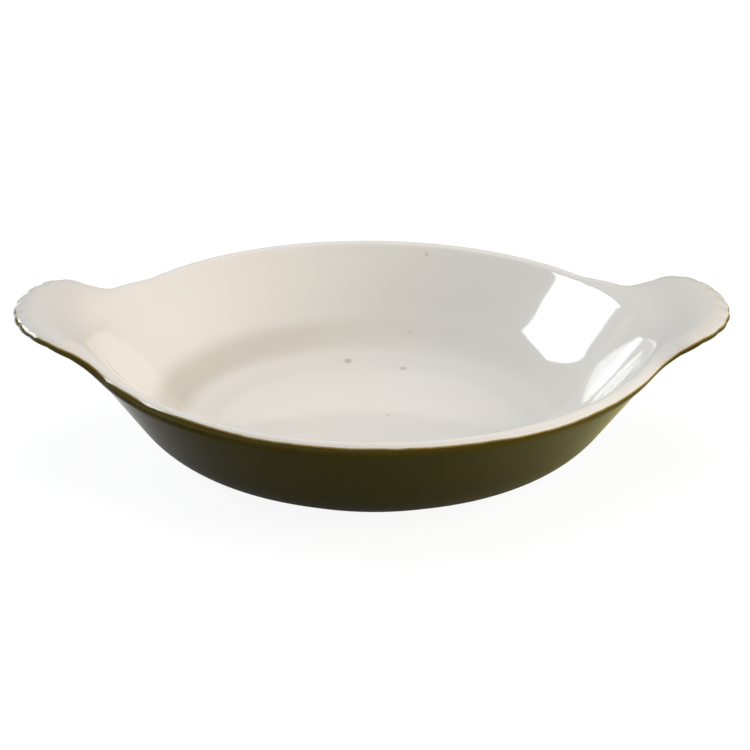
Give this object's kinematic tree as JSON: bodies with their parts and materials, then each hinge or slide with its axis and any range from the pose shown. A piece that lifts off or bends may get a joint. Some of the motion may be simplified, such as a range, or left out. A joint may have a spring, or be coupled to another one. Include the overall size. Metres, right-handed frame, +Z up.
{
  "type": "shirred egg dish",
  "caption": "Round, shallow one-piece baking dish with a flared wall, a low foot ring and opposed scalloped shell handles, ivory glazed inside and olive outside.",
  "frame": {"origin": "middle of the foot ring, on the surface that the dish stands on", "axes": "+Z up, along the bowl's axis; the handles lie along X"},
  "size_m": [0.2012, 0.16, 0.0439],
  "materials": {
    "glaze": "glossy glaze, ivory inside and over the lip, dark olive outside"
  },
  "bodies": {
    "root": {"dish": "glaze"}
  },
  "joints": []
}
